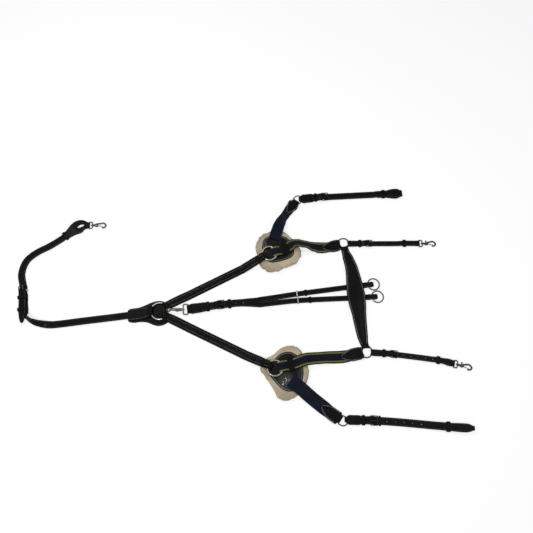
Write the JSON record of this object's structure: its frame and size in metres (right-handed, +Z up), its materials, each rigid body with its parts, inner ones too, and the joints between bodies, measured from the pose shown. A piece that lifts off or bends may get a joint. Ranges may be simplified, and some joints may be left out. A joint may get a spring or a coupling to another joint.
{
  "type": "five point breastplate",
  "caption": "Black leather five-point breastplate for a horse: fleece pads, elastics, wither strap, forked martingale with rein rings, girth strap and snap straps.",
  "frame": {"origin": "under the centre of the chest ring, on the surface that the breastplate lies on", "axes": "+X from the chest to the withers, +Y to the horse's right side, +Z up from the surface that it lies on"},
  "size_m": [1.4105, 0.7834, 0.0364],
  "materials": {
    "black_leather": "smooth dyed bridle leather, satin",
    "padded_leather": "soft rolled leather over padding, satin",
    "navy_elastic": "woven elastic webbing, matt",
    "striped_elastic": "woven elastic webbing with lengthwise stripes, matt",
    "cream_fleece": "curly wool pile, matt",
    "nickel_brass": "cast and bent hardware, polished"
  },
  "bodies": {
    "harness": {"wither_strap": "padded_leather", "shoulder_strap_right": "padded_leather", "fleece_pad_right": "cream_fleece", "pad_leather_right": "black_leather", "inner_elastic_right": "striped_elastic", "inner_tab_right": "black_leather", "outer_elastic_right": "navy_elastic", "outer_tab_right": "black_leather", "shoulder_strap_left": "padded_leather", "fleece_pad_left": "cream_fleece", "pad_leather_left": "black_leather", "inner_elastic_left": "striped_elastic", "inner_tab_left": "black_leather", "outer_elastic_left": "navy_elastic", "outer_tab_left": "black_leather"},
    "chest_ring": {"chest_ring": "nickel_brass"},
    "girth_part": {"chest_plate": "black_leather", "ring_cover": "black_leather", "girth_strap": "black_leather", "girth_buckle": "nickel_brass", "girth_billet": "black_leather"},
    "girth_prong": {"girth_prong": "nickel_brass"},
    "girth_snap_eye": {"girth_snap_eye": "nickel_brass"},
    "girth_snap_hook": {"girth_snap_hook": "nickel_brass"},
    "girth_snap_gate": {"girth_snap_gate": "nickel_brass"},
    "martingale": {"martingale_fork": "black_leather", "martingale_buckle": "nickel_brass", "martingale_snap_eye": "nickel_brass"},
    "martingale_prong": {"martingale_prong": "nickel_brass"},
    "martingale_snap_hook": {"martingale_snap_hook": "nickel_brass"},
    "martingale_snap_gate": {"martingale_snap_gate": "nickel_brass"},
    "fork_slide": {"fork_slide": "nickel_brass"},
    "rein_stop_right": {"rein_stop_right": "black_leather"},
    "rein_ring_right": {"rein_ring_right": "nickel_brass"},
    "pad_ring_right": {"pad_ring_right": "nickel_brass"},
    "wither_ring_right": {"wither_ring_right": "nickel_brass"},
    "side_dee_right": {"side_dee_right": "nickel_brass"},
    "side_strap_right": {"side_strap_right": "black_leather", "side_right_buckle": "nickel_brass"},
    "side_right_prong": {"side_right_prong": "nickel_brass"},
    "saddle_strap_right": {"saddle_strap_right": "black_leather", "saddle_right_buckle": "nickel_brass"},
    "saddle_right_prong": {"saddle_right_prong": "nickel_brass"},
    "saddle_snap_right_eye": {"saddle_snap_right_eye": "nickel_brass"},
    "saddle_snap_right_hook": {"saddle_snap_right_hook": "nickel_brass"},
    "saddle_snap_right_gate": {"saddle_snap_right_gate": "nickel_brass"},
    "rein_stop_left": {"rein_stop_left": "black_leather"},
    "rein_ring_left": {"rein_ring_left": "nickel_brass"},
    "pad_ring_left": {"pad_ring_left": "nickel_brass"},
    "wither_ring_left": {"wither_ring_left": "nickel_brass"},
    "side_dee_left": {"side_dee_left": "nickel_brass"},
    "side_strap_left": {"side_strap_left": "black_leather", "side_left_buckle": "nickel_brass"},
    "side_left_prong": {"side_left_prong": "nickel_brass"},
    "saddle_strap_left": {"saddle_strap_left": "black_leather", "saddle_left_buckle": "nickel_brass"},
    "saddle_left_prong": {"saddle_left_prong": "nickel_brass"},
    "saddle_snap_left_eye": {"saddle_snap_left_eye": "nickel_brass"},
    "saddle_snap_left_hook": {"saddle_snap_left_hook": "nickel_brass"},
    "saddle_snap_left_gate": {"saddle_snap_left_gate": "nickel_brass"}
  },
  "joints": [
    {"name": "chest_ring_turn", "type": "hinge", "parent": "harness", "child": "chest_ring", "pos_m": [0, 0, 0.00865], "axis": [0, 0, 1], "continuous": true},
    {"name": "girth_part_swing", "type": "hinge", "parent": "harness", "child": "girth_part", "pos_m": [0, 0, 0.00865], "axis": [0, 0, 1], "range_deg": [-6, 6]},
    {"name": "martingale_swing", "type": "hinge", "parent": "harness", "child": "martingale", "pos_m": [0, 0, 0.00865], "axis": [0, 0, 1], "range_deg": [-2, 2]},
    {"name": "girth_prong_turn", "type": "hinge", "parent": "girth_part", "child": "girth_prong", "pos_m": [-0.433, 0.062, 0.0048], "axis": [0.9877, 0.1564, 0], "range_deg": [0, 50]},
    {"name": "girth_snap_eye_turn", "type": "hinge", "parent": "girth_part", "child": "girth_snap_eye", "pos_m": [-0.252, 0.2915, 0.0048], "axis": [0.035, -0.9994, 0], "range_deg": [0, 60]},
    {"name": "girth_snap_swivel", "type": "hinge", "parent": "girth_snap_eye", "child": "girth_snap_hook", "pos_m": [-0.252, 0.2915, 0.0048], "axis": [0.9986, 0.035, -0.0395], "continuous": true},
    {"name": "girth_snap_gate_turn", "type": "hinge", "parent": "girth_snap_hook", "child": "girth_snap_gate", "pos_m": [-0.22697, 0.29058, 0.00381], "axis": [0.0395, 0.0014, 0.9992], "range_deg": [0, 20], "stiffness_Nm_per_rad": 0.004, "springref_deg": -17.19},
    {"name": "martingale_prong_turn", "type": "hinge", "parent": "martingale", "child": "martingale_prong", "pos_m": [0.17867, 0.01986, 0.00765], "axis": [0.1434, -0.9897, 0], "range_deg": [0, 50]},
    {"name": "martingale_snap_swivel", "type": "hinge", "parent": "martingale", "child": "martingale_snap_hook", "pos_m": [0.08759, 0.00689, 0.0048], "axis": [-0.993, -0.0782, 0.0885], "range_deg": [-5, 5]},
    {"name": "martingale_snap_gate_turn", "type": "hinge", "parent": "martingale_snap_hook", "child": "martingale_snap_gate", "pos_m": [0.05466, 0.0043, 0.00593], "axis": [-0.0785, 0.9969, 0], "range_deg": [0, 20], "stiffness_Nm_per_rad": 0.004, "springref_deg": -17.19},
    {"name": "fork_slide_run", "type": "slide", "parent": "martingale", "child": "fork_slide", "axis": [0.9947, 0.103, 0], "range_m": [-0.004, 0.004]},
    {"name": "rein_stop_right_run", "type": "slide", "parent": "martingale", "child": "rein_stop_right", "axis": [0.9903, 0.1392, 0], "range_m": [-0.0035, 0.0035]},
    {"name": "rein_ring_right_turn", "type": "hinge", "parent": "martingale", "child": "rein_ring_right", "pos_m": [0.652, 0.0866, 0.0052], "axis": [0.1228, -0.9924, 0], "range_deg": [0, 120]},
    {"name": "pad_ring_turn_right", "type": "hinge", "parent": "harness", "child": "pad_ring_right", "pos_m": [0.34, 0.185, 0.027], "axis": [0, 0, 1], "continuous": true},
    {"name": "wither_ring_turn_right", "type": "hinge", "parent": "harness", "child": "wither_ring_right", "pos_m": [0.58, 0.227, 0.0048], "axis": [0, 0, 1], "continuous": true},
    {"name": "side_dee_turn_right", "type": "hinge", "parent": "harness", "child": "side_dee_right", "pos_m": [0.42957, 0.37834, 0.0048], "axis": [0.766, -0.6428, 0], "range_deg": [0, 60]},
    {"name": "side_strap_swing_right", "type": "hinge", "parent": "side_dee_right", "child": "side_strap_right", "pos_m": [0.436, 0.386, 0.0048], "axis": [0, 0, 1], "range_deg": [-6, 6]},
    {"name": "side_right_prong_turn", "type": "hinge", "parent": "side_strap_right", "child": "side_right_prong", "pos_m": [0.51496, 0.39456, 0.00765], "axis": [0.0644, -0.9979, 0], "range_deg": [0, 50]},
    {"name": "saddle_strap_swing_right", "type": "hinge", "parent": "harness", "child": "saddle_strap_right", "pos_m": [0.58, 0.227, 0.0048], "axis": [0, 0, 1], "range_deg": [0, 12]},
    {"name": "saddle_right_prong_turn", "type": "hinge", "parent": "saddle_strap_right", "child": "saddle_right_prong", "pos_m": [0.65175, 0.22701, 0.00765], "axis": [0.0001, -1, 0], "range_deg": [0, 50]},
    {"name": "saddle_snap_right_eye_turn", "type": "hinge", "parent": "saddle_strap_right", "child": "saddle_snap_right_eye", "pos_m": [0.823, 0.2276, 0.0048], "axis": [-0.0051, -1, 0], "range_deg": [0, 60]},
    {"name": "saddle_snap_right_swivel", "type": "hinge", "parent": "saddle_snap_right_eye", "child": "saddle_snap_right_hook", "pos_m": [0.823, 0.2276, 0.0048], "axis": [0.9992, -0.0051, -0.0395], "continuous": true},
    {"name": "saddle_snap_right_gate_turn", "type": "hinge", "parent": "saddle_snap_right_hook", "child": "saddle_snap_right_gate", "pos_m": [0.84797, 0.22567, 0.00381], "axis": [0.0395, -0.0002, 0.9992], "range_deg": [0, 20], "stiffness_Nm_per_rad": 0.004, "springref_deg": -17.19},
    {"name": "rein_stop_left_run", "type": "slide", "parent": "martingale", "child": "rein_stop_left", "axis": [0.9987, 0.0501, 0], "range_m": [-0.0035, 0.0035]},
    {"name": "rein_ring_left_turn", "type": "hinge", "parent": "martingale", "child": "rein_ring_left", "pos_m": [0.662, 0.047, 0.0052], "axis": [0.0518, -0.9987, 0], "range_deg": [0, 120]},
    {"name": "pad_ring_turn_left", "type": "hinge", "parent": "harness", "child": "pad_ring_left", "pos_m": [0.356, -0.179, 0.027], "axis": [0, 0, 1], "continuous": true},
    {"name": "wither_ring_turn_left", "type": "hinge", "parent": "harness", "child": "wither_ring_left", "pos_m": [0.633, -0.126, 0.0048], "axis": [0, 0, 1], "continuous": true},
    {"name": "side_dee_turn_left", "type": "hinge", "parent": "harness", "child": "side_dee_left", "pos_m": [0.54404, -0.32427, 0.0048], "axis": [-0.4226, -0.9063, 0], "range_deg": [0, 60]},
    {"name": "side_strap_swing_left", "type": "hinge", "parent": "side_dee_left", "child": "side_strap_left", "pos_m": [0.5531, -0.3285, 0.0048], "axis": [0, 0, 1], "range_deg": [-6, 6]},
    {"name": "side_left_prong_turn", "type": "hinge", "parent": "side_strap_left", "child": "side_left_prong", "pos_m": [0.63195, -0.3271, 0.00765], "axis": [-0.0476, -0.9989, 0], "range_deg": [0, 50]},
    {"name": "saddle_strap_swing_left", "type": "hinge", "parent": "harness", "child": "saddle_strap_left", "pos_m": [0.633, -0.126, 0.0048], "axis": [0, 0, 1], "range_deg": [-10, 10]},
    {"name": "saddle_left_prong_turn", "type": "hinge", "parent": "saddle_strap_left", "child": "saddle_left_prong", "pos_m": [0.7044, -0.13282, 0.00765], "axis": [-0.1069, -0.9943, 0], "range_deg": [0, 50]},
    {"name": "saddle_snap_left_eye_turn", "type": "hinge", "parent": "saddle_strap_left", "child": "saddle_snap_left_eye", "pos_m": [0.892, -0.162, 0.0048], "axis": [-0.2284, -0.9736, 0], "range_deg": [0, 60]},
    {"name": "saddle_snap_left_swivel", "type": "hinge", "parent": "saddle_snap_left_eye", "child": "saddle_snap_left_hook", "pos_m": [0.892, -0.162, 0.0048], "axis": [0.9728, -0.2282, -0.0395], "continuous": true},
    {"name": "saddle_snap_left_gate_turn", "type": "hinge", "parent": "saddle_snap_left_hook", "child": "saddle_snap_left_gate", "pos_m": [0.91591, -0.16946, 0.00381], "axis": [0.0385, -0.009, 0.9992], "range_deg": [0, 20], "stiffness_Nm_per_rad": 0.004, "springref_deg": -17.19}
  ]
}
